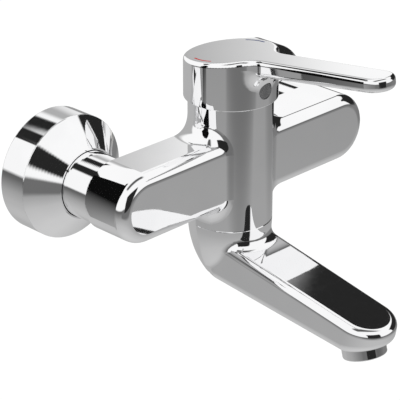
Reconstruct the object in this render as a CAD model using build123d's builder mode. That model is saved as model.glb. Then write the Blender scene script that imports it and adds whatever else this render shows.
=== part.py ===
from build123d import *
import os
from math import atan2, cos, radians, sin, tan

# Wall-mounted single-lever basin mixer: two unions, a cast body, a mixing cartridge and a swivel spout.
# X runs along the wall, +Y goes into the wall and Z is up. The origin is on the wall, midway between
# the two wall threads. Heights are measured from the inlet axis of the tap, which the eccentric unions
# raise by union_offset. Distances "out" are measured from the wall towards the room.

# Driving dimensions: wall unions and flanges
inlet_spacing = 150.0
union_offset = 8.0
wall_thread_r = 10.48
wall_thread_length = 16.0
tap_thread_r = 13.2
union_bore_r = 7.5
union_neck = 2.0
union_block_r = 14.0
union_block_end = 12.0
union_length = 28.0
flange_r = 34.4
flange_rim = 17.6
flange_depth = 30.7
flange_wall = 1.5
flange_hub = 3.0
flange_mouth_gap = 0.35
flange_mouth_land = 0.85
flange_rim_round = 0.7
nut_r = 18.4
nut_sleeve_wall = 1.5
nut_shoulder = 3.2
nut_hub_gap = 3.0
nut_body_gap = 0.4
nut_edge_round = 0.5
washer_thickness = 2.2
tail_r = 10.0
tail_bore_r = 7.0
tail_head = 3.1
tail_engagement = 7.0

# Driving dimensions: cast body
axis_out = 62.9
bar_depth_back = 13.3
bar_depth_front = 15.1
bar_half = 19.4
bar_round = 6.3
column_r = 23.25
column_bottom = -32.5
column_blend = 9.5
column_seam = 0.3
waterway_r = 5.5
waterway_back = 4.0
waterway_wall = 4.5
waterway_overlap = 4.0
cross_bore_inset = 1.0

# Driving dimensions: cartridge, from the standard 35 mm size
cartridge_seat = 8.5
cartridge_r = 17.4
housing_wall = 3.4
shoulder_wall = 2.2
neck_wall = 2.5
neck_length = 9.3
neck_recess = 2.1
base_height = 4.5
fixed_disc_height = 3.0
moving_disc_height = 2.6
carrier_height = 3.0
guide_flange_height = 2.6
guide_step = 2.3
guide_top_gap = 0.5
disc_side_room = 3.0
port_r = 3.6
port_seal_width = 1.6
port_seal_height = 1.8
disc_seal_width = 1.2
disc_seal_height = 1.5
inlet_port = (7.8, 4.0)
outlet_port = (0.0, -8.6)
peg_r = 2.0
peg_place = (12.5, -7.0)
pivot_rise = 7.1
pivot_r = 1.5
pivot_inset = 0.7
slot_reach = 6.5
mixing_pocket = (4.0, 9.0, 1.4)
mixing_pocket_shift = 2.5
stem_side = 8.0
stem_block = 4.5
stem_cover = 4.25
stem_lean = 11.0
foot_r = 2.3
foot_neck_r = 1.7
foot_sink = 0.21
clamp_rise = 3.4
clamp_rim_step = 1.1
clamp_slot = 4.0
column_wall = 2.85

# Driving dimensions: shroud, handle and lever
shroud_inset = 0.95
shroud_wall = 1.2
shroud_room = 1.0
shroud_opening_r = 9.5
skirt_overhang = 2.35
skirt_wall = 2.0
skirt_foot_round = 0.5
skirt_gap = 0.6
skirt_height = 24.95
cap_slope = 7.8
roof = 3.0
lever_reach = 110.05
lever_half = 9.65
lever_depth = 9.7
lever_taper = 1.25
lever_root_blend = 12.0
lever_under_round = 2.9
lever_round_share = 0.8
cap_edge_round = 2.5
boss_r = 8.0
boss_gap = 3.5
screw_rise = 9.0
screw_r = 3.0
screw_length = 10.0
screw_boss_wall = 2.0
screw_hex = 3.0
screw_hex_depth = 3.0
plug_r = 4.6
plug_depth = 4.6
plug_recess = 0.3
plug_round = 0.5
plug_pad_wall = 1.7
plug_pad_depth = 2.7
mark_inset = 4.6
mark_back = 4.0
mark_width = 1.1
mark_depth = 0.4
mark_angle = 34.0

# Driving dimensions: swivel spout and aerator, with drops measured down from the column's lower end
spout_slope = 10.3
spout_top_drop = 6.75
spout_reach = 118.3
spout_tip_r = 16.9
spout_root_r = 18.1
spout_root_start = 10.0
spout_under_slope = 6.1
spout_top_round = 4.3
spout_under_round = 5.5
spout_root_blend = 6.0
bowl_foot_r = 12.6
bowl_floor = 1.0
bowl_round = 4.5
channel_r = 6.5
channel_front = 4.0
nipple_thread_length = 11.5
nipple_thread_step = 1.1
nipple_r = 12.6
nipple_bore_r = 7.5
nipple_length = 23.5
socket_gap = 0.4
slide_ring_height = 2.5
slide_ring_depth = 1.0
o_ring_cord_r = 1.2
o_ring_side_room = 0.4
o_ring_depth = 2.1
slide_ring_drops = (1.0, 19.7)
o_ring_drops = (12.1, 16.7)
lock_drop = 6.7
lock_depth = 2.2
lock_half = 2.0
lock_tip_gap = 0.4
lock_thread_gap = 0.2
lock_screw_r = 2.5
lock_screw_recess = 3.0
lock_hex = 2.5
lock_hex_depth = 2.5
aerator_inset = 18.2
aerator_drop = 17.9
aerator_belly = 0.5
aerator_tilt = 15.0
aerator_r = 12.0
aerator_show = 6.0
aerator_thread_step = 1.0
aerator_thread_length = 8.0
aerator_collar = 0.6
aerator_socket_room = 2.0
aerator_wall = 1.2
insert_recess = 0.5
aerator_round = 0.6
aerator_washer_height = 1.8
lip_height = 1.0
lip_width = 0.8
jet_r = 0.55
jet_rings = 4
jet_margin = 1.0
jet_depth = 1.5

# Clearances
thread_gap = 0.05
running_gap = 0.05
loose_gap = 0.3
seal_gap = 0.05
play = 0.1
foot_gap = 0.15
shroud_fit = 0.15
thread_relief = 1.0

# Places of the body
inlet_x = inlet_spacing / 2
tap_z = union_offset
axis_y = -axis_out
bar_back = axis_out - bar_depth_back
bar_front = axis_out + bar_depth_front

# Radii of the cartridge and of what surrounds it
disc_room_r = cartridge_r - housing_wall
fixed_disc_r = disc_room_r - loose_gap
moving_disc_r = disc_room_r - disc_side_room
guide_r = disc_room_r - guide_step
neck_r = guide_r + neck_wall
clamp_thread_r = column_r - column_wall
clamp_rim_r = clamp_thread_r - clamp_rim_step
clamp_bore_r = neck_r + 2 * play
shroud_r = column_r - shroud_inset
skirt_r = column_r + skirt_overhang

# Heights from the cartridge's seat up to the cap
disc_floor = cartridge_seat + base_height
disc_joint = disc_floor + fixed_disc_height
carrier_floor = disc_joint + moving_disc_height
carrier_top = carrier_floor + carrier_height
guide_floor = carrier_top + loose_gap
guide_shoulder = guide_floor + guide_flange_height
shoulder = guide_shoulder + shoulder_wall
neck_top = shoulder + neck_length
pivot_height = guide_shoulder + pivot_rise
column_top = neck_top + neck_recess
clamp_top = neck_top + clamp_rise
shroud_top = clamp_top + shroud_room + shroud_wall
skirt_bottom = column_top + skirt_gap
cap_height = skirt_bottom + skirt_height
screw_height = skirt_bottom + screw_rise
boss_start = shroud_top - pivot_height + boss_gap
stem_top = cap_height - pivot_height - stem_cover
foot_arm = (pivot_height - carrier_top + foot_sink) / cos(radians(stem_lean))

pivot = Vector(0, axis_y, tap_z + pivot_height)
column_axis = Axis((0, axis_y, 0), (0, 0, 1))
column_section = Plane(origin=(0, axis_y, tap_z), x_dir=(1, 0, 0), z_dir=(0, -1, 0))

os.makedirs("parts", exist_ok=True)


def finish(piece, name):
    piece.part.label = name
    export_step(piece.part, f"parts/{name}.step")


def level(height, x=0.0, y=0.0):
    """Horizontal plane at a height above the inlet axis, centred on the column plus x and y."""
    return Plane(origin=(x, axis_y + y, tap_z + height))


def from_axis(edge):
    """Distance of an edge's middle from the column axis."""
    middle = edge @ 0.5
    return ((middle.X) ** 2 + (middle.Y - axis_y) ** 2) ** 0.5


def section(plane, points):
    """Closed outline through points on a plane, to be revolved."""
    with BuildSketch(plane) as outline:
        with BuildLine():
            Polyline(*points, close=True)
        make_face()
    return outline.sketch


def inlet_section(x):
    """Plane through an inlet's axis: first coordinate the radius, second the distance out."""
    return Plane(origin=(x, 0, tap_z), x_dir=(1, 0, 0), z_dir=(0, 0, -1))


def inlet_axis(x):
    return Axis((x, 0, tap_z), (0, -1, 0))


def turned(name, points):
    """A piece turned about the column axis from (radius, height) points."""
    with BuildPart() as piece:
        revolve(section(column_section, points), axis=column_axis)
    finish(piece, name)


# Wall unions, flanges, nuts, washers and tails, one set for each side
washer_start = union_length
tail_start = washer_start + washer_thickness
tail_shoulder = tail_start + tail_head
tail_end = bar_back + tail_engagement
nut_shoulder_end = tail_shoulder + nut_shoulder
nut_end = bar_back - nut_body_gap
hub_start = union_block_end + loose_gap
hub_end = hub_start + flange_hub
nut_start = hub_end + nut_hub_gap
mouth_bore_r = nut_r + flange_mouth_gap
flange_mouth_r = mouth_bore_r + flange_mouth_land
inner_r = flange_r - flange_wall

# The inside of the cone runs parallel to its outside, one wall away
cone_angle = atan2(flange_r - flange_mouth_r, flange_depth - flange_rim)
cone_back = flange_rim - flange_wall / sin(cone_angle)
inner_cone_start = cone_back + (flange_r - inner_r) / tan(cone_angle)
inner_cone_end = cone_back + (flange_r - mouth_bore_r) / tan(cone_angle)

for side, x in (("left", -inlet_x), ("right", inlet_x)):
    with BuildPart() as union:
        with BuildSketch(Plane.XZ.offset(-wall_thread_length)):
            with Locations((x, 0)):
                Circle(wall_thread_r)
        extrude(amount=wall_thread_length + union_neck)
        with BuildSketch(Plane.XZ.offset(union_neck)):
            with Locations((x, union_offset / 2)):
                SlotCenterToCenter(union_offset, 2 * union_block_r, rotation=90)
        extrude(amount=union_block_end - union_neck)
        with BuildSketch(Plane.XZ.offset(union_block_end)):
            with Locations((x, union_offset)):
                Circle(tap_thread_r)
        extrude(amount=union_length - union_block_end)
        with BuildSketch(Plane.XZ.offset(-wall_thread_length)):
            with Locations((x, 0)):
                Circle(union_bore_r)
        extrude(amount=wall_thread_length + union_block_end - union_neck, mode=Mode.SUBTRACT)
        with BuildSketch(Plane.XZ.offset(2 * union_neck)):
            with Locations((x, union_offset)):
                Circle(union_bore_r)
        extrude(amount=union_length, mode=Mode.SUBTRACT)
    finish(union, f"{side}_union")

    with BuildPart() as flange:
        flange_points = [
            (flange_r, 0),
            (flange_r, flange_rim),
            (flange_mouth_r, flange_depth),
            (mouth_bore_r, flange_depth),
            (mouth_bore_r, inner_cone_end),
            (inner_r, inner_cone_start),
            (inner_r, hub_end),
            (tap_thread_r + thread_gap, hub_end),
            (tap_thread_r + thread_gap, hub_start),
            (inner_r, hub_start),
            (inner_r, 0),
        ]
        revolve(section(inlet_section(x), flange_points), axis=inlet_axis(x))
        rim_edges = flange.edges().filter_by(
            lambda e: e.geom_type == GeomType.CIRCLE and abs(e.radius - flange_r) < 0.01
        )
        fillet(rim_edges, flange_rim_round)
    finish(flange, f"{side}_flange")

    with BuildPart() as nut:
        sleeve_r = nut_r - nut_sleeve_wall
        nut_points = [
            (nut_r, nut_start),
            (nut_r, nut_end),
            (sleeve_r, nut_end),
            (sleeve_r, nut_shoulder_end),
            (tail_r + loose_gap, nut_shoulder_end),
            (tail_r + loose_gap, tail_shoulder),
            (tap_thread_r + thread_gap, tail_shoulder),
            (tap_thread_r + thread_gap, nut_start),
        ]
        revolve(section(inlet_section(x), nut_points), axis=inlet_axis(x))
        nut_edges = nut.edges().filter_by(
            lambda e: e.geom_type == GeomType.CIRCLE and abs(e.radius - nut_r) < 0.01
        )
        fillet(nut_edges, nut_edge_round)
    finish(nut, f"{side}_union_nut")

    with BuildPart() as washer:
        with BuildSketch(Plane.XZ.offset(washer_start)):
            with Locations((x, tap_z)):
                Circle(tap_thread_r - loose_gap)
                Circle(tail_bore_r, mode=Mode.SUBTRACT)
        extrude(amount=washer_thickness)
    finish(washer, f"{side}_filter_washer")

    with BuildPart() as tail:
        tail_points = [
            (tap_thread_r - loose_gap, tail_start),
            (tap_thread_r - loose_gap, tail_shoulder),
            (tail_r, tail_shoulder),
            (tail_r, tail_end),
            (tail_bore_r, tail_end),
            (tail_bore_r, tail_start),
        ]
        revolve(section(inlet_section(x), tail_points), axis=inlet_axis(x))
    finish(tail, f"{side}_inlet_tail")

# Cast body: a bar that is round at both ends, a column through it, and cored waterways
nipple_thread_r = nipple_r - nipple_thread_step
nipple_thread_top = column_bottom + nipple_thread_length
chamber_r = cartridge_r + loose_gap
outlet_chamber_r = nipple_thread_r - thread_relief
outlet_chamber_top = -waterway_r - waterway_wall
peg_depth = peg_r
pegs = (peg_place, (-peg_place[0], peg_place[1]))
inlet_ports = (inlet_port, (-inlet_port[0], inlet_port[1]))
ports = (*inlet_ports, outlet_port)

with BuildPart() as body:
    with BuildSketch(Plane.XZ.offset(bar_back)):
        with Locations((0, tap_z)):
            SlotCenterToCenter(inlet_spacing, 2 * bar_half)
    extrude(amount=bar_front - bar_back)
    fillet(body.faces().sort_by(Axis.Y)[0].edges(), bar_round)
    with BuildSketch(level(column_bottom)):
        Circle(column_r)
    extrude(amount=column_top - column_bottom)
    blend_edges = body.edges().filter_by(
        lambda e: abs(from_axis(e) - column_r) < 0.05
        and abs((e @ 0.5).X) < column_r - 0.02
        and abs((e @ 0.5).Z - tap_z) < bar_half + 0.1
    )
    fillet(blend_edges, column_blend)
    chamfer(body.faces().sort_by(Axis.Z)[0].edges(), column_seam)

    # Cartridge chamber, clamp thread and locating holes for the base
    with BuildSketch(level(cartridge_seat)):
        Circle(chamber_r)
    extrude(amount=column_top - cartridge_seat, mode=Mode.SUBTRACT)
    with BuildSketch(level(shoulder - loose_gap)):
        Circle(clamp_thread_r + play)
    extrude(amount=column_top - shoulder + loose_gap, mode=Mode.SUBTRACT)
    with BuildSketch(level(cartridge_seat)):
        with Locations(*pegs):
            Circle(peg_r + 2 * play)
    extrude(amount=-peg_depth - loose_gap, mode=Mode.SUBTRACT)

    # Hot and cold waterways, from the inlet sockets to the risers under the cartridge
    for x in (-inlet_x, inlet_x):
        with BuildSketch(Plane.XZ.offset(bar_back)):
            with Locations((x, tap_z)):
                Circle(tail_r + thread_gap)
        extrude(amount=tail_engagement + thread_relief, mode=Mode.SUBTRACT)
        with BuildSketch(Plane.XZ.offset(bar_back)):
            with Locations((x, tap_z)):
                Circle(tail_bore_r)
        extrude(amount=bar_depth_back, mode=Mode.SUBTRACT)
    inner_end = inlet_port[0] - port_r + cross_bore_inset
    with BuildSketch(Plane.YZ.offset(inner_end), Plane.YZ.offset(-inlet_x)):
        with Locations((axis_y + waterway_back, tap_z)):
            Circle(waterway_r)
    extrude(amount=inlet_x - inner_end, mode=Mode.SUBTRACT)
    with BuildSketch(level(0)):
        with Locations(*inlet_ports):
            Circle(port_r)
    extrude(amount=cartridge_seat, mode=Mode.SUBTRACT)

    # Mixed water goes down to the swivel nipple
    with BuildSketch(level(cartridge_seat)):
        with Locations(outlet_port):
            Circle(port_r)
    extrude(amount=outlet_chamber_top - cartridge_seat - waterway_overlap, mode=Mode.SUBTRACT)
    with BuildSketch(level(outlet_chamber_top)):
        Circle(outlet_chamber_r)
    extrude(amount=column_bottom - outlet_chamber_top, mode=Mode.SUBTRACT)
    with BuildSketch(level(nipple_thread_top + thread_relief)):
        Circle(nipple_thread_r + thread_gap)
    extrude(amount=column_bottom - nipple_thread_top - thread_relief, mode=Mode.SUBTRACT)
finish(body, "body")

# Cartridge base with its three ports, seal pockets and locating pegs
port_seal_r = port_r + port_seal_width
disc_seal_r = port_r + disc_seal_width

with BuildPart() as base:
    with BuildSketch(level(cartridge_seat)):
        Circle(cartridge_r)
    extrude(amount=base_height)
    with BuildSketch(level(cartridge_seat)):
        with Locations(*ports):
            Circle(port_r)
    extrude(amount=base_height, mode=Mode.SUBTRACT)
    with BuildSketch(level(cartridge_seat)):
        with Locations(*ports):
            Circle(port_seal_r)
    extrude(amount=port_seal_height, mode=Mode.SUBTRACT)
    with BuildSketch(level(disc_floor)):
        with Locations(*ports):
            Circle(disc_seal_r)
    extrude(amount=-disc_seal_height, mode=Mode.SUBTRACT)
    with BuildSketch(level(cartridge_seat)):
        with Locations(*pegs):
            Circle(peg_r)
    extrude(amount=-peg_depth)
finish(base, "cartridge_base")

for name, floor, outer_r, height in (
    ("port_seals", cartridge_seat, port_seal_r, port_seal_height),
    ("disc_seals", disc_floor - disc_seal_height, disc_seal_r, disc_seal_height),
):
    with BuildPart() as seals:
        with BuildSketch(level(floor)):
            with Locations(*ports):
                Circle(outer_r - seal_gap)
                Circle(port_r + seal_gap, mode=Mode.SUBTRACT)
        extrude(amount=height)
    finish(seals, name)

with BuildPart() as fixed_disc:
    with BuildSketch(level(disc_floor)):
        Circle(fixed_disc_r)
        with Locations(*ports):
            Circle(port_r, mode=Mode.SUBTRACT)
    extrude(amount=fixed_disc_height)
finish(fixed_disc, "fixed_disc")

# The moving disc and its carrier start behind the centre and slide forward as the lever lifts
foot_throw = foot_arm * sin(radians(stem_lean))
pocket_length, pocket_width, pocket_depth = mixing_pocket

with BuildPart() as moving_disc:
    with BuildSketch(level(disc_joint, y=foot_throw)):
        Circle(moving_disc_r)
    extrude(amount=moving_disc_height)
    with BuildSketch(level(disc_joint, y=foot_throw - mixing_pocket_shift)):
        SlotCenterToCenter(pocket_length, pocket_width, rotation=90)
    extrude(amount=pocket_depth, mode=Mode.SUBTRACT)
finish(moving_disc, "moving_disc")

with BuildPart() as carrier:
    with BuildSketch(level(carrier_floor, y=foot_throw)):
        Circle(moving_disc_r)
        Circle(foot_r + foot_gap, mode=Mode.SUBTRACT)
    extrude(amount=carrier_height)
finish(carrier, "disc_carrier")

turned(
    "cartridge_housing",
    [
        (cartridge_r, disc_floor),
        (cartridge_r, shoulder),
        (neck_r, shoulder),
        (neck_r, neck_top),
        (guide_r + running_gap, neck_top),
        (guide_r + running_gap, guide_shoulder + play),
        (disc_room_r, guide_shoulder + play),
        (disc_room_r, disc_floor),
    ],
)

# Turning guide: it turns in the housing neck and carries the pivot pin of the stem
slot_half = stem_side / 2 + loose_gap
pivot_length = 2 * (guide_r - pivot_inset)

with BuildPart() as guide:
    with BuildSketch(level(guide_floor)):
        Circle(disc_room_r - loose_gap)
    extrude(amount=guide_flange_height)
    with BuildSketch(level(guide_shoulder)):
        Circle(guide_r)
    extrude(amount=neck_top - guide_shoulder - guide_top_gap)
    with BuildSketch(level(guide_floor)):
        Rectangle(2 * slot_half, 2 * slot_reach)
    extrude(amount=neck_top - guide_floor, mode=Mode.SUBTRACT)
    with BuildSketch(Plane.YZ.offset(-pivot_length / 2)):
        with Locations((pivot.Y, pivot.Z)):
            Circle(pivot_r)
    extrude(amount=pivot_length, mode=Mode.SUBTRACT)
finish(guide, "turning_guide")

with BuildPart() as pin:
    with BuildSketch(Plane.YZ.offset(-pivot_length / 2)):
        with Locations((pivot.Y, pivot.Z)):
            Circle(pivot_r)
    extrude(amount=pivot_length)
finish(pin, "pivot_pin")

# Stem: square above the pivot, a ball foot below it, leaning forward while the tap is closed
lean = radians(stem_lean)
stem_plane = Plane(origin=pivot, x_dir=(1, 0, 0), z_dir=(0, -sin(lean), cos(lean)))

with BuildPart() as stem:
    with BuildSketch(stem_plane.offset(-stem_block)):
        Rectangle(stem_side, stem_side)
    extrude(amount=stem_block + stem_top)
    with BuildSketch(stem_plane.offset(-stem_block)):
        Circle(foot_neck_r)
    extrude(amount=stem_block - foot_arm)
    foot_centre = stem_plane.from_local_coords(Vector(0, 0, -foot_arm))
    with Locations(foot_centre):
        Sphere(foot_r)
    with BuildSketch(Plane.YZ.offset(-stem_side)):
        with Locations((pivot.Y, pivot.Z)):
            Circle(pivot_r + running_gap)
    extrude(amount=2 * stem_side, mode=Mode.SUBTRACT)
finish(stem, "stem")

# Clamp nut with four spanner slots, and the shroud that closes the column round the stem
clamp_thread_top = column_top - 4 * play

with BuildPart() as clamp_nut:
    clamp_points = [
        (clamp_thread_r, shoulder),
        (clamp_thread_r, clamp_thread_top),
        (clamp_rim_r, clamp_thread_top),
        (clamp_rim_r, clamp_top),
        (clamp_bore_r, clamp_top),
        (clamp_bore_r, shoulder),
    ]
    revolve(section(column_section, clamp_points), axis=column_axis)
    with BuildSketch(level(clamp_top)):
        Rectangle(2 * clamp_rim_r, clamp_slot)
        Rectangle(clamp_slot, 2 * clamp_rim_r)
    extrude(amount=column_top - clamp_top, mode=Mode.SUBTRACT)
finish(clamp_nut, "clamp_nut")


def shroud_radius(height):
    return (shroud_r**2 - (height - pivot_height) ** 2) ** 0.5


with BuildPart() as shroud:
    middle = (column_top + shroud_top) / 2
    with BuildSketch(column_section):
        with BuildLine():
            ThreePointArc(
                (shroud_radius(column_top), column_top),
                (shroud_radius(middle), middle),
                (shroud_radius(shroud_top), shroud_top),
            )
            Polyline(
                (shroud_radius(shroud_top), shroud_top),
                (shroud_opening_r, shroud_top),
                (shroud_opening_r, shroud_top - shroud_wall),
                (clamp_rim_r + shroud_fit, shroud_top - shroud_wall),
                (clamp_rim_r + shroud_fit, column_top),
                (shroud_radius(column_top), column_top),
            )
        make_face()
    revolve(axis=column_axis)
finish(shroud, "shroud")

# Handle: a skirt with a sloping cap, and a lever in the plane of the cap
slope = radians(cap_slope)
cap_plane = Plane(
    origin=(0, axis_y, tap_z + cap_height), x_dir=(1, 0, 0), z_dir=(0, sin(slope), cos(slope))
)
under_slope = radians(cap_slope + lever_taper)
lever_under_plane = Plane(
    origin=cap_plane.from_local_coords(Vector(0, 0, -lever_depth)),
    x_dir=(1, 0, 0),
    z_dir=(0, sin(under_slope), cos(under_slope)),
)
skirt_bore_r = skirt_r - skirt_wall
lever_centre = lever_reach - lever_half

lever_tip_depth = lever_depth - lever_centre * tan(radians(lever_taper))
under_round = min(lever_under_round, lever_round_share * lever_tip_depth)

screw_top = screw_height - pivot_height + screw_r
screw_start = screw_top * tan(lean) + stem_side / 2 / cos(lean) + play
plug_pad_start = skirt_bore_r - plug_pad_depth
plug_face = skirt_r - plug_recess
plug_floor = plug_face - plug_depth
mark_r = skirt_r - mark_inset


def in_front(distance):
    """Upright plane a distance in front of the column axis, its origin at the grub screw's height."""
    return Plane(
        origin=(0, axis_y - distance, tap_z + screw_height), x_dir=(1, 0, 0), z_dir=(0, -1, 0)
    )


def mark_outline(side):
    """Short arc near the rim of the cap: side is 1 on the right and -1 on the left."""
    middle = 90 - side * (90 - mark_back)
    with BuildLine() as arc:
        CenterArc((0, 0), mark_r, middle - mark_angle / 2, mark_angle)
    return arc.edge()


# The space inside the skirt, with the bosses for the stem, the screw and the plug left standing
with BuildPart() as hollow:
    with BuildSketch(level(skirt_bottom)):
        Circle(skirt_bore_r)
    extrude(amount=cap_height)
    split(bisect_by=cap_plane.offset(-roof), keep=Keep.BOTTOM)
    with BuildSketch(stem_plane.offset(boss_start)):
        Circle(boss_r)
    extrude(amount=cap_height, mode=Mode.SUBTRACT)
    with BuildSketch(in_front(0)):
        Circle(screw_r + screw_boss_wall)
    extrude(amount=skirt_r, mode=Mode.SUBTRACT)
    with BuildSketch(in_front(plug_pad_start)):
        Circle(plug_r + plug_pad_wall)
    extrude(amount=skirt_r, mode=Mode.SUBTRACT)

with BuildPart() as handle:
    # Lever alone, so that its rounded underside runs on into the skirt
    with BuildSketch(cap_plane):
        with Locations((0, -lever_centre / 2)):
            SlotCenterToCenter(lever_centre, 2 * lever_half, rotation=90)
    extrude(amount=-2 * lever_depth)
    split(bisect_by=lever_under_plane, keep=Keep.TOP)
    fillet(handle.faces().filter_by(lever_under_plane).edges(), under_round)
    with BuildSketch(level(skirt_bottom)):
        Circle(skirt_r)
    extrude(amount=cap_height)
    split(bisect_by=cap_plane, keep=Keep.BOTTOM)

    # Concave blends in plan where the lever leaves the cap, then the thin rounded edge of the cap
    root_edges = handle.edges().filter_by(
        lambda e: abs(from_axis(e) - skirt_r) < 0.05
        and (e @ 0.5).Y < axis_y
        and abs(abs((e @ 0.5).X) - lever_half) < 0.3
    )
    fillet(root_edges, lever_root_blend)
    fillet(handle.faces().filter_by(cap_plane).sort_by(Axis.Z)[-1].edges(), cap_edge_round)
    fillet(handle.faces().filter_by(Axis.Z).sort_by(Axis.Z)[0].edges(), skirt_foot_round)
    add(hollow.part, mode=Mode.SUBTRACT)

    # Square hole for the stem, threaded hole for the grub screw, seat for the plug
    with BuildSketch(stem_plane):
        Rectangle(stem_side + 2 * thread_gap, stem_side + 2 * thread_gap)
    extrude(amount=stem_top + play, mode=Mode.SUBTRACT)
    with BuildSketch(in_front(0)):
        Circle(screw_r + thread_gap)
    extrude(amount=plug_floor, mode=Mode.SUBTRACT)
    with BuildSketch(in_front(plug_floor)):
        Circle(plug_r + thread_gap)
    extrude(amount=skirt_r, mode=Mode.SUBTRACT)
    with BuildSketch(cap_plane):
        for side in (-1, 1):
            SlotArc(mark_outline(side), mark_width)
    extrude(amount=-mark_depth, mode=Mode.SUBTRACT)
finish(handle, "handle")

with BuildPart() as grub_screw:
    with BuildSketch(in_front(screw_start)):
        Circle(screw_r)
    extrude(amount=screw_length)
    with BuildSketch(in_front(screw_start + screw_length)):
        RegularPolygon(screw_hex / 2, 6, major_radius=False)
    extrude(amount=-screw_hex_depth, mode=Mode.SUBTRACT)
finish(grub_screw, "handle_grub_screw")

with BuildPart() as plug:
    with BuildSketch(in_front(plug_floor + play)):
        Circle(plug_r)
    extrude(amount=plug_depth - play)
    fillet(plug.faces().sort_by(Axis.Y)[0].edges(), plug_round)
finish(plug, "index_plug")

for name, side in (("hot_mark", -1), ("cold_mark", 1)):
    with BuildPart() as mark:
        with BuildSketch(cap_plane.offset(-mark_depth)):
            SlotArc(mark_outline(side), mark_width)
        extrude(amount=mark_depth)
    finish(mark, name)

# Swivel spout: a tapered arm under a sloping flat top, and a bowl that hangs from the column
spout_fall = radians(spout_slope)
under_fall = radians(spout_under_slope)
tilt = radians(aerator_tilt)
spout_top = column_bottom - spout_top_drop
aerator_out = axis_out + spout_reach * cos(spout_fall) - aerator_inset
aerator_height = spout_top - (aerator_out - axis_out) * tan(spout_fall) - aerator_drop
spout_under = aerator_height - aerator_belly + (aerator_out - axis_out) * tan(under_fall)
bowl_bottom = spout_under - bowl_floor
nipple_bottom = column_bottom - nipple_length
socket_r = nipple_r + socket_gap
lock_height = tap_z + column_bottom - lock_drop
aerator_thread_r = aerator_r - aerator_thread_step
spout_plane = Plane(
    origin=(0, axis_y, tap_z + spout_top), x_dir=(1, 0, 0), z_dir=(0, -sin(spout_fall), cos(spout_fall))
)
under_plane = Plane(
    origin=(0, axis_y, tap_z + spout_under), x_dir=(1, 0, 0), z_dir=(0, -sin(under_fall), cos(under_fall))
)
aerator_plane = Plane(
    origin=(0, -aerator_out, tap_z + aerator_height), x_dir=(1, 0, 0), z_dir=(0, sin(tilt), cos(tilt))
)
socket_bottom = nipple_bottom - thread_relief
aerator_socket = aerator_thread_length + aerator_socket_room
channel_start = Vector(0, axis_y - channel_front, tap_z + nipple_bottom + channel_r)
channel_end = aerator_plane.from_local_coords(Vector(0, 0, aerator_socket))
channel_plane = Plane(origin=channel_start, x_dir=(1, 0, 0), z_dir=channel_end - channel_start)

with BuildPart() as spout_arm:
    with BuildSketch(spout_plane):
        with Locations((0, -spout_root_start)):
            Circle(spout_root_r)
        with Locations((0, spout_tip_r - spout_reach)):
            Circle(spout_tip_r)
        make_hull()
    extrude(amount=spout_under)
    split(bisect_by=under_plane, keep=Keep.TOP)
    split(bisect_by=aerator_plane, keep=Keep.TOP)
    lower_faces = spout_arm.faces().filter_by(under_plane) + spout_arm.faces().filter_by(aerator_plane)
    fillet(lower_faces.edges(), spout_under_round)
    fillet(spout_arm.faces().filter_by(spout_plane).edges(), spout_top_round)

with BuildPart() as spout:
    # Bowl: straight down from the seam, then drawn in along one arc
    with BuildSketch(column_section):
        with BuildLine():
            Polyline(
                (bowl_foot_r, bowl_bottom), (0, bowl_bottom), (0, column_bottom), (column_r, column_bottom)
            )
            TangentArc((column_r, column_bottom), (bowl_foot_r, bowl_bottom), tangent=(0, -1))
        make_face()
    revolve(axis=column_axis)
    fillet(spout.edges().filter_by(GeomType.CIRCLE).sort_by(Axis.Z)[0], bowl_round)
    chamfer(spout.edges().filter_by(GeomType.CIRCLE).sort_by(Axis.Z)[-1], column_seam)
    add(spout_arm.part)
    fillet(spout.edges(Select.NEW), spout_root_blend)
    with BuildSketch(aerator_plane):
        Circle(aerator_r + aerator_collar)
    extrude(amount=aerator_socket)
    with BuildSketch(aerator_plane):
        Circle(aerator_r + loose_gap)
    extrude(amount=-aerator_show, mode=Mode.SUBTRACT)

    # Socket for the nipple, the locking screw's hole, the waterway and the aerator's thread
    with BuildSketch(level(column_bottom)):
        Circle(socket_r)
    extrude(amount=socket_bottom - column_bottom, mode=Mode.SUBTRACT)
    with BuildSketch(Plane.XZ.offset(axis_out)):
        with Locations((0, lock_height)):
            Circle(lock_screw_r + thread_gap)
    extrude(amount=-2 * column_r, mode=Mode.SUBTRACT)
    with BuildSketch(channel_plane):
        Circle(channel_r)
    extrude(amount=(channel_end - channel_start).length, mode=Mode.SUBTRACT)
    with Locations(channel_start, channel_end):
        Sphere(channel_r, mode=Mode.SUBTRACT)
    with BuildSketch(aerator_plane):
        Circle(aerator_thread_r + thread_gap)
    extrude(amount=aerator_socket, mode=Mode.SUBTRACT)
finish(spout, "spout")

# Swivel nipple, fixed in the column: two slide rings, two O-rings and the groove of the locking screw
o_ring_floor = nipple_r - o_ring_depth
ring_floor = nipple_r - slide_ring_depth
lock_floor = nipple_r - lock_depth
slide_ring_middles = [column_bottom - drop - slide_ring_height / 2 for drop in slide_ring_drops]
o_ring_middles = [column_bottom - drop for drop in o_ring_drops]


def groove(middle, half, floor_r):
    top, bottom = middle + half, middle - half
    return [(nipple_r, top), (floor_r, top), (floor_r, bottom), (nipple_r, bottom)]


nipple_points = [
    (nipple_bore_r, nipple_thread_top),
    (nipple_thread_r, nipple_thread_top),
    (nipple_thread_r, column_bottom),
    (nipple_r, column_bottom),
]
nipple_points += groove(slide_ring_middles[0], slide_ring_height / 2 + play, ring_floor)
nipple_points += groove(column_bottom - lock_drop, lock_half, lock_floor)
for middle in o_ring_middles:
    nipple_points += groove(middle, o_ring_cord_r + o_ring_side_room, o_ring_floor)
nipple_points += groove(slide_ring_middles[1], slide_ring_height / 2 + play, ring_floor)
nipple_points += [(nipple_r, nipple_bottom), (nipple_bore_r, nipple_bottom)]
turned("swivel_nipple", nipple_points)

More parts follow.
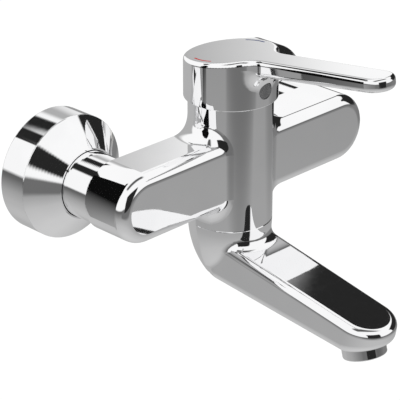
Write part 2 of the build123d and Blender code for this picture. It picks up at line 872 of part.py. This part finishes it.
with BuildPart() as slide_rings:
    for middle in slide_ring_middles:
        with BuildSketch(level(middle)):
            Circle(socket_r - running_gap)
            Circle(ring_floor + running_gap, mode=Mode.SUBTRACT)
        extrude(amount=slide_ring_height / 2, both=True)
finish(slide_rings, "slide_rings")

with BuildPart() as o_rings:
    for middle in o_ring_middles:
        with Locations(level(middle).location):
            Torus(socket_r - seal_gap - o_ring_cord_r, o_ring_cord_r)
finish(o_rings, "spout_o_rings")

lock_tip_r = lock_half - loose_gap
lock_tip_start = lock_floor + lock_tip_gap
lock_thread_start = socket_r + lock_thread_gap
lock_end = column_r - lock_screw_recess

with BuildPart() as lock_screw:
    with BuildSketch(Plane.XZ.offset(axis_out - lock_tip_start)):
        with Locations((0, lock_height)):
            Circle(lock_tip_r)
    extrude(amount=lock_tip_start - lock_thread_start)
    with BuildSketch(Plane.XZ.offset(axis_out - lock_thread_start)):
        with Locations((0, lock_height)):
            Circle(lock_screw_r)
    extrude(amount=lock_thread_start - lock_end)
    with BuildSketch(Plane.XZ.offset(axis_out - lock_end)):
        with Locations((0, lock_height)):
            RegularPolygon(lock_hex / 2, 6, major_radius=False)
    extrude(amount=lock_hex_depth, mode=Mode.SUBTRACT)
finish(lock_screw, "spout_lock_screw")

# Aerator: housing screwed into the spout, an insert with its jets, and a washer above it
insert_r = aerator_thread_r - aerator_wall
insert_top = aerator_thread_length - insert_recess
lip_r = insert_r - lip_width

with BuildPart() as aerator_housing:
    with BuildSketch(aerator_plane):
        Circle(aerator_thread_r)
    extrude(amount=aerator_thread_length)
    with BuildSketch(aerator_plane):
        Circle(aerator_r)
    extrude(amount=-aerator_show)
    fillet(aerator_housing.faces().filter_by(aerator_plane).sort_by(Axis.Z)[0].edges(), aerator_round)
    with BuildSketch(aerator_plane.offset(lip_height - aerator_show)):
        Circle(insert_r + thread_gap)
    extrude(amount=aerator_show + aerator_thread_length, mode=Mode.SUBTRACT)
    with BuildSketch(aerator_plane.offset(-aerator_show)):
        Circle(lip_r)
    extrude(amount=lip_height, mode=Mode.SUBTRACT)
finish(aerator_housing, "aerator_housing")

with BuildPart() as aerator_insert:
    with BuildSketch(aerator_plane.offset(lip_height - aerator_show)):
        Circle(insert_r)
    extrude(amount=aerator_show + insert_top - lip_height)
    with BuildSketch(aerator_plane.offset(lip_height - aerator_show)):
        for ring in range(1, jet_rings + 1):
            with PolarLocations(ring * (lip_r - jet_margin) / jet_rings, 6 * ring):
                Circle(jet_r)
        Circle(jet_r)
    extrude(amount=jet_depth, mode=Mode.SUBTRACT)
finish(aerator_insert, "aerator_insert")

with BuildPart() as aerator_washer:
    with BuildSketch(aerator_plane.offset(aerator_thread_length)):
        Circle(aerator_thread_r - play)
        Circle(channel_r + loose_gap, mode=Mode.SUBTRACT)
    extrude(amount=aerator_washer_height)
finish(aerator_washer, "aerator_washer")
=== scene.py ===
import math

import bpy
import numpy as np
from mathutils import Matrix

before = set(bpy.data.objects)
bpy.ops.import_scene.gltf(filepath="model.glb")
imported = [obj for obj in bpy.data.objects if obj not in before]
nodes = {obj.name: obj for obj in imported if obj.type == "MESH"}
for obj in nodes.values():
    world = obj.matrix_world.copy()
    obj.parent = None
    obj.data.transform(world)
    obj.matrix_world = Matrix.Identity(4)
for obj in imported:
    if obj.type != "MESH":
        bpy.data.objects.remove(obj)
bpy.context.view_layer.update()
print("frame:", len(nodes), "nodes")

# camera: the photograph's angle, fitted to the tap's own edges
camera = {
    "place": (-0.6939, -0.7313, 0.4329),
    "azimuth": -45.18,
    "elevation": 24.91,
    "lens": 174.16,
    "sensor": 36,
    "shift": (-0.0070, -0.0056),
    "clip": (0.05, 40),
}


def makeCamera(c):
    data = bpy.data.cameras.new("photoCamera")
    data.lens, data.sensor_width = c["lens"], c["sensor"]
    data.shift_x, data.shift_y = c["shift"]
    data.clip_start, data.clip_end = c["clip"]
    cam = bpy.data.objects.new("photoCamera", data)
    cam.location = c["place"]
    cam.rotation_euler = (math.radians(90 - c["elevation"]), 0, math.radians(c["azimuth"]))
    bpy.context.scene.collection.objects.link(cam)
    bpy.context.scene.camera = cam


makeCamera(camera)
bpy.context.scene.view_settings.view_transform = "Standard"

# studio: a soft tent, grey below the horizon, darkest just under it and white above it, with a few
# plain cards that only reflections see. The tent's level by elevation, then each card: azimuth and
# elevation of its middle (0 looks out at the room, 90 to the tap's right, 180 through the wall),
# width and height in degrees, its tilt, its level and how soft its edge is.
studio = {
    "plain": (0.94, 1.0),  # level that matt surfaces get from below and from above
    "tent": [
        (-90, 0.62),
        (-75, 0.61),
        (-45, 0.52),
        (-25, 0.36),
        (-8, 0.14),
        (-4, 0.12),
        (0, 1.0),
        (90, 1.0),
    ],
    "cards": {
        "roomLow": (-20, -14, 70, 24, 0, 0.16, 10),
        "roomFlag": (-13, 12, 46, 46, 0, 0.02, 4),
        "rightFlag": (90, 12, 60, 48, 0, 0.02, 4),
        "rightLow": (90, -14, 60, 20, 0, 0.2, 8),
        "rightStrip": (118, 12, 6, 62, 0, 0.02, 3),
        "wallStrip": (168, 43, 60, 6, 0, 0.02, 2),
        "leftFlag": (-155, 46, 24, 14, 0, 0.02, 3),
        "wallGrey": (170, -5, 70, 80, 0, 0.45, 10),
        "overhead": (0, 84, 60, 20, 0, 0.1, 10),
    },
}


def mathNode(tree, operation, *inputs, clamp=False):
    node = tree.nodes.new("ShaderNodeMath")
    node.operation, node.use_clamp = operation, clamp
    for socket, value in zip(node.inputs, inputs):
        if isinstance(value, (int, float)):
            socket.default_value = value
        else:
            tree.links.new(value, socket)
    return node.outputs[0]


def mapRange(tree, value, fromLow, fromHigh, low=0.0, high=1.0, kind="SMOOTHSTEP"):
    node = tree.nodes.new("ShaderNodeMapRange")
    node.interpolation_type = kind
    tree.links.new(value, node.inputs["Value"])
    for name, number in (("From Min", fromLow), ("From Max", fromHigh), ("To Min", low), ("To Max", high)):
        node.inputs[name].default_value = number
    return node.outputs["Result"]


def turned(azimuth, elevation):
    a, e = math.radians(azimuth), math.radians(elevation)
    return np.array([math.sin(a) * math.cos(e), -math.cos(a) * math.cos(e), math.sin(e)])


def dotNode(tree, vector, axis):
    node = tree.nodes.new("ShaderNodeVectorMath")
    node.operation = "DOT_PRODUCT"
    tree.links.new(vector, node.inputs[0])
    node.inputs[1].default_value = tuple(float(x) for x in axis)
    return node.outputs["Value"]


def cardMask(tree, direction, azimuth, elevation, width, height, tilt, soft):
    # a flat rectangle seen from the tap: the direction's share across and up, each against the
    # card's half size as a tangent, so that its edges stay straight in space
    leastFacing = 0.001  # keeps the side away from the card out of it
    middle = turned(azimuth, elevation)
    side = np.cross((0, 0, 1), middle)
    side = side / np.linalg.norm(side)
    upward = np.cross(middle, side)
    t = math.radians(tilt)
    across = side * math.cos(t) + upward * math.sin(t)
    along = upward * math.cos(t) - side * math.sin(t)
    facing = mathNode(tree, "MAXIMUM", dotNode(tree, direction, middle), leastFacing)
    edge = math.radians(soft) / 2
    mask = None
    for axis, size in ((across, width), (along, height)):
        ratio = mathNode(tree, "ABSOLUTE", mathNode(tree, "DIVIDE", dotNode(tree, direction, axis), facing))
        half = math.tan(math.radians(size / 2))
        inside = mapRange(tree, ratio, half + edge, half - edge)
        mask = inside if mask is None else mathNode(tree, "MULTIPLY", mask, inside)
    return mask


def stops(tree, value, pairs):
    ramp = tree.nodes.new("ShaderNodeValToRGB")
    tree.links.new(value, ramp.inputs[0])
    elements = ramp.color_ramp.elements
    elements[0].position, elements[1].position = pairs[0][0], pairs[-1][0]
    elements[0].color, elements[1].color = (*[pairs[0][1]] * 3, 1), (*[pairs[-1][1]] * 3, 1)
    for place, level in pairs[1:-1]:
        elements.new(place).color = (level, level, level, 1)
    return ramp.outputs["Color"]


def makeStudio(s):
    world = bpy.data.worlds.new("studio")
    bpy.context.scene.world = world
    world.use_nodes = True
    tree = world.node_tree
    tree.nodes.clear()
    direction = tree.nodes.new("ShaderNodeTexCoord").outputs["Generated"]
    height = dotNode(tree, direction, (0, 0, 1))
    share = mathNode(tree, "MULTIPLY_ADD", mathNode(tree, "ARCSINE", height), 1 / math.pi, 0.5, clamp=True)
    level = stops(tree, share, [((e + 90) / 180, v) for e, v in s["tent"]])
    for *shape, cardLevel, soft in s["cards"].values():
        mask = cardMask(tree, direction, *shape, soft)
        keep = mathNode(tree, "SUBTRACT", 1, mask)
        level = mathNode(tree, "MULTIPLY_ADD", mask, cardLevel, mathNode(tree, "MULTIPLY", level, keep))
    plain = mapRange(tree, height, -1, 1, *s["plain"])
    path = tree.nodes.new("ShaderNodeLightPath")
    seen = None
    for condition, part in (("Is Glossy Ray", level), ("Is Camera Ray", 1.0)):
        mix = tree.nodes.new("ShaderNodeMix")
        tree.links.new(path.outputs[condition], mix.inputs[0])
        tree.links.new(seen or plain, mix.inputs[2])
        if isinstance(part, float):
            mix.inputs[3].default_value = part
        else:
            tree.links.new(part, mix.inputs[3])
        seen = mix.outputs[0]
    background = tree.nodes.new("ShaderNodeBackground")
    out = tree.nodes.new("ShaderNodeOutputWorld")
    tree.links.new(seen, background.inputs["Color"])
    tree.links.new(background.outputs[0], out.inputs["Surface"])


makeStudio(studio)
print("studio:", len(studio["cards"]), "cards")


# two plain cards beside the left flange, upright and facing the room: a dark one for the bar's
# end, which pales downwards, and a white one above the bar. Each has its outline in x and z and its
# level, or the levels at two heights. They are clear from behind.
leftFlangeAxis = (-0.075, 0.008)
cardGap = 0.058  # from the flange's axis to the dark card's round side
nearCardPlace = -0.012  # how far out from the wall both cards stand


def flangeArc(start, end, count):
    # the side of a card that follows the left flange
    x, z = leftFlangeAxis
    a = np.radians(np.linspace(start, end, count))
    return list(zip((x - cardGap * np.cos(a)).tolist(), (z + cardGap * np.sin(a)).tolist()))


nearCards = {
    "barCard": {
        "outline": [
            *flangeArc(60, -55, 12),
            (-0.125, -0.085),
            (-0.210, -0.085),
            (-0.210, 0.145),
            (-0.104, 0.145),
        ],
        "level": ((-0.060, 0.36), (0.030, 0.004)),
    },
    "paleCard": {
        "outline": [(-0.104, 0.065), (-0.104, 0.130), (0.0, 0.130), (0.0, 0.065)],
        "level": 1.0,
    },
}


def makeNearCard(name, outline, level):
    corners = [(x, nearCardPlace, z) for x, z in outline]
    edges = np.array(corners)
    facing = np.cross(edges, np.roll(edges, -1, axis=0)).sum(axis=0)[1]
    mesh = bpy.data.meshes.new(name)
    mesh.from_pydata(corners if facing < 0 else corners[::-1], [], [tuple(range(len(corners)))])
    obj = bpy.data.objects.new(name, mesh)
    bpy.context.scene.collection.objects.link(obj)
    obj.visible_camera = obj.visible_diffuse = obj.visible_shadow = obj.visible_transmission = False
    material = bpy.data.materials.new(name)
    material.use_nodes = True
    tree = material.node_tree
    tree.nodes.clear()
    geometry = tree.nodes.new("ShaderNodeNewGeometry")
    glow = tree.nodes.new("ShaderNodeEmission")
    if isinstance(level, tuple):
        (low, lowLevel), (high, highLevel) = level
        place = tree.nodes.new("ShaderNodeTexCoord").outputs["Object"]
        strength = mapRange(
            tree, dotNode(tree, place, (0, 0, 1)), low, high, lowLevel, highLevel, kind="LINEAR"
        )
        tree.links.new(strength, glow.inputs["Strength"])
    else:
        glow.inputs["Strength"].default_value = level
    oneSided = tree.nodes.new("ShaderNodeMixShader")
    tree.links.new(geometry.outputs["Backfacing"], oneSided.inputs[0])
    tree.links.new(glow.outputs[0], oneSided.inputs[1])
    tree.links.new(tree.nodes.new("ShaderNodeBsdfTransparent").outputs[0], oneSided.inputs[2])
    tree.links.new(oneSided.outputs[0], tree.nodes.new("ShaderNodeOutputMaterial").inputs["Surface"])
    material.cycles.emission_sampling = "NONE"
    mesh.materials.append(material)


for name, card in nearCards.items():
    makeNearCard(name, card["outline"], card["level"])
print("near cards:", len(nearCards))

# floor: plain and pale, well below the tap, seen as white with the tap's soft shadow on it
floor = {"height": -0.62, "reach": 12.0, "glow": 0.80, "colour": (0.24, 0.24, 0.24)}


def makeFloor(f):
    r, z = f["reach"], f["height"]
    mesh = bpy.data.meshes.new("floor")
    mesh.from_pydata([(-r, -r, z), (r, -r, z), (r, r, z), (-r, r, z)], [], [(0, 1, 2, 3)])
    obj = bpy.data.objects.new("floor", mesh)
    bpy.context.scene.collection.objects.link(obj)
    obj.visible_glossy = False
    material = bpy.data.materials.new("paleFloor")
    material.use_nodes = True
    tree = material.node_tree
    tree.nodes.clear()
    matt = tree.nodes.new("ShaderNodeBsdfDiffuse")
    matt.inputs["Color"].default_value = (*f["colour"], 1)
    glow = tree.nodes.new("ShaderNodeEmission")
    cameraRay = tree.nodes.new("ShaderNodeLightPath").outputs["Is Camera Ray"]
    tree.links.new(mathNode(tree, "MULTIPLY", cameraRay, f["glow"]), glow.inputs["Strength"])
    both = tree.nodes.new("ShaderNodeAddShader")
    clear = tree.nodes.new("ShaderNodeBsdfTransparent")
    oneSided = tree.nodes.new("ShaderNodeMixShader")
    tree.links.new(tree.nodes.new("ShaderNodeNewGeometry").outputs["Backfacing"], oneSided.inputs[0])
    out = tree.nodes.new("ShaderNodeOutputMaterial")
    tree.links.new(matt.outputs[0], both.inputs[0])
    tree.links.new(glow.outputs[0], both.inputs[1])
    tree.links.new(both.outputs[0], oneSided.inputs[1])
    tree.links.new(clear.outputs[0], oneSided.inputs[2])
    tree.links.new(oneSided.outputs[0], out.inputs["Surface"])
    mesh.materials.append(material)


makeFloor(floor)

# finishes: one for each material of the tap. Sizes are in metres. colours are the two ends of a
# slow patchy change, roughness its two ends over a fine grain, ripple is the size and depth of the
# surface's unevenness, turned the spacing and depth of lathe marks round an axis, and edge the
# width and colour of the wear along edges.
finishes = {
    "chrome": {
        "colours": ((0.950, 0.950, 0.955), (0.925, 0.926, 0.933)),
        "patch": 0.030,
        "metallic": 1.0,
        "roughness": (0.018, 0.042),
        "grain": 0.0035,
        "ripple": (0.016, 0.000012),
    },
    "turnedChrome": {
        "colours": ((0.950, 0.950, 0.955), (0.922, 0.923, 0.930)),
        "patch": 0.020,
        "metallic": 1.0,
        "roughness": (0.020, 0.048),
        "grain": 0.0030,
        "ripple": (0.010, 0.000008),
        "turned": ("y", 0.0011, 0.0000006),
    },
    "brass": {
        "colours": ((0.80, 0.60, 0.28), (0.66, 0.47, 0.20)),
        "patch": 0.012,
        "metallic": 1.0,
        "roughness": (0.20, 0.36),
        "grain": 0.0012,
        "ripple": (0.003, 0.00002),
        "turned": ("y", 0.0008, 0.000006),
        "edge": (0.0006, (0.90, 0.74, 0.42)),
    },
    "nickel": {
        "colours": ((0.80, 0.79, 0.77), (0.72, 0.71, 0.69)),
        "patch": 0.010,
        "metallic": 1.0,
        "roughness": (0.14, 0.26),
        "grain": 0.0014,
        "ripple": (0.004, 0.00001),
        "turned": ("y", 0.0008, 0.000004),
        "edge": (0.0006, (0.86, 0.85, 0.84)),
    },
    "rubber": {
        "colours": ((0.022, 0.022, 0.023), (0.040, 0.039, 0.038)),
        "patch": 0.006,
        "metallic": 0.0,
        "roughness": (0.55, 0.75),
        "grain": 0.0006,
        "ripple": (0.0008, 0.00003),
    },
    "ceramic": {
        "colours": ((0.86, 0.85, 0.81), (0.80, 0.79, 0.75)),
        "patch": 0.007,
        "metallic": 0.0,
        "roughness": (0.12, 0.22),
        "grain": 0.0008,
        "ripple": (0.0006, 0.000004),
    },
    "acetal": {
        "colours": ((0.76, 0.76, 0.74), (0.68, 0.68, 0.66)),
        "patch": 0.010,
        "metallic": 0.0,
        "roughness": (0.32, 0.48),
        "grain": 0.0010,
        "ripple": (0.0012, 0.00001),
        "edge": (0.0005, (0.84, 0.84, 0.82)),
    },
    "steel": {
        "colours": ((0.62, 0.62, 0.63), (0.50, 0.50, 0.51)),
        "patch": 0.004,
        "metallic": 1.0,
        "roughness": (0.24, 0.38),
        "grain": 0.0006,
        "ripple": (0.0010, 0.00001),
        "turned": ("y", 0.0004, 0.000004),
        "edge": (0.0003, (0.78, 0.78, 0.79)),
    },
    "greyPlug": {
        "colours": ((0.200, 0.200, 0.202), (0.170, 0.170, 0.172)),
        "patch": 0.0035,
        "metallic": 0.0,
        "roughness": (0.42, 0.58),
        "grain": 0.0005,
        "ripple": (0.0005, 0.000012),
        "edge": (0.0004, (0.26, 0.26, 0.262)),
    },
    "aeratorPlastic": {
        "colours": ((0.64, 0.66, 0.68), (0.56, 0.58, 0.60)),
        "patch": 0.004,
        "metallic": 0.0,
        "roughness": (0.30, 0.45),
        "grain": 0.0006,
        "ripple": (0.0007, 0.00001),
    },
    "redEnamel": {
        "colours": ((0.62, 0.020, 0.018), (0.50, 0.014, 0.014)),
        "patch": 0.002,
        "metallic": 0.0,
        "roughness": (0.42, 0.60),
        "grain": 0.0005,
        "ripple": (0.0009, 0.000006),
        "sheen": 0.12,
    },
    "blueEnamel": {
        "colours": ((0.010, 0.035, 0.17), (0.008, 0.028, 0.13)),
        "patch": 0.002,
        "metallic": 0.0,
        "roughness": (0.42, 0.60),
        "grain": 0.0005,
        "ripple": (0.0009, 0.000006),
        "sheen": 0.12,
    },
}
finishOf = {
    "turnedChrome": ["left_flange", "right_flange", "left_union_nut", "right_union_nut", "aerator_housing"],
    "chrome": ["body", "handle", "spout", "shroud"],
    "nickel": ["left_union", "right_union"],
    "brass": ["left_inlet_tail", "right_inlet_tail", "clamp_nut", "swivel_nipple", "stem"],
    "rubber": [
        "left_filter_washer",
        "right_filter_washer",
        "port_seals",
        "disc_seals",
        "spout_o_rings",
        "aerator_washer",
    ],
    "ceramic": ["fixed_disc", "moving_disc"],
    "acetal": ["cartridge_base", "cartridge_housing", "turning_guide", "disc_carrier", "slide_rings"],
    "steel": ["pivot_pin", "handle_grub_screw", "spout_lock_screw"],
    "greyPlug": ["index_plug"],
    "aeratorPlastic": ["aerator_insert"],
    "redEnamel": ["hot_mark"],
    "blueEnamel": ["cold_mark"],
}


# shared by all finishes
patchRange = (0.35, 0.65)  # share of the noise over which the slow patches change
grainRange = (0.3, 0.7)  # the same for the fine grain
cornerTurn = (1.0, 0.80)  # cosine between the normals on a flat and on a worn corner
latheWander = (0.006, 0.8)  # size and amount of the unevenness of the lathe marks


def noiseNode(tree, place, size, detail):
    node = tree.nodes.new("ShaderNodeTexNoise")
    tree.links.new(place, node.inputs["Vector"])
    node.inputs["Scale"].default_value = 1 / size
    node.inputs["Detail"].default_value = detail
    return node.outputs["Fac"]


def colourMix(tree, share, first, second):
    node = tree.nodes.new("ShaderNodeMix")
    node.data_type = "RGBA"
    tree.links.new(share, node.inputs[0])
    for socket, colour in ((node.inputs[6], first), (node.inputs[7], second)):
        if isinstance(colour, tuple):
            socket.default_value = (*colour, 1)
        else:
            tree.links.new(colour, socket)
    return node.outputs[2]


def edgeShare(tree, width):
    # how far the normal turns within the edge's width: 0 on a flat, 1 on a corner
    bevel = tree.nodes.new("ShaderNodeBevel")
    bevel.samples = 4
    bevel.inputs["Radius"].default_value = width
    plain = tree.nodes.new("ShaderNodeNewGeometry").outputs["Normal"]
    dot = tree.nodes.new("ShaderNodeVectorMath")
    dot.operation = "DOT_PRODUCT"
    tree.links.new(bevel.outputs[0], dot.inputs[0])
    tree.links.new(plain, dot.inputs[1])
    return mapRange(tree, dot.outputs["Value"], *cornerTurn)


def bumpNode(tree, height, depth, below=None):
    node = tree.nodes.new("ShaderNodeBump")
    node.inputs["Strength"].default_value = 1.0
    node.inputs["Distance"].default_value = depth
    tree.links.new(height, node.inputs["Height"])
    if below is not None:
        tree.links.new(below, node.inputs["Normal"])
    return node.outputs[0]


def makeFinish(name, f):
    material = bpy.data.materials.new(name)
    material.use_nodes = True
    tree = material.node_tree
    shader = tree.nodes["Principled BSDF"]
    place = tree.nodes.new("ShaderNodeTexCoord").outputs["Object"]
    patch = mapRange(tree, noiseNode(tree, place, f["patch"], 2), *patchRange)
    colour = colourMix(tree, patch, *f["colours"])
    if "edge" in f:
        width, worn = f["edge"]
        colour = colourMix(tree, edgeShare(tree, width), colour, worn)
    tree.links.new(colour, shader.inputs["Base Color"])
    grain = noiseNode(tree, place, f["grain"], 3)
    roughness = mapRange(tree, grain, *grainRange, *f["roughness"], kind="LINEAR")
    tree.links.new(roughness, shader.inputs["Roughness"])
    shader.inputs["Metallic"].default_value = f["metallic"]
    shader.inputs["Specular IOR Level"].default_value = f.get("sheen", 0.5)
    size, depth = f["ripple"]
    normal = bumpNode(tree, noiseNode(tree, place, size, 2), depth)
    if "turned" in f:
        # lathe marks: rings at even steps along the axis
        axis, spacing, depth = f["turned"]
        split = tree.nodes.new("ShaderNodeSeparateXYZ")
        tree.links.new(place, split.inputs[0])
        along = split.outputs["XYZ".index(axis.upper())]
        wanderSize, wanderAmount = latheWander
        wander = mathNode(tree, "MULTIPLY", noiseNode(tree, place, wanderSize, 1), wanderAmount)
        turns = mathNode(tree, "MULTIPLY_ADD", along, 2 * math.pi / spacing, wander)
        rings = mathNode(tree, "SINE", turns)
        normal = bumpNode(tree, rings, depth, normal)
    tree.links.new(normal, shader.inputs["Normal"])
    return material


for name, members in finishOf.items():
    material = makeFinish(name, finishes[name])
    for member in members:
        mesh = nodes[member].data
        mesh.materials.clear()
        mesh.materials.append(material)
print("finishes:", len(finishOf), "for", sum(len(m) for m in finishOf.values()), "nodes")
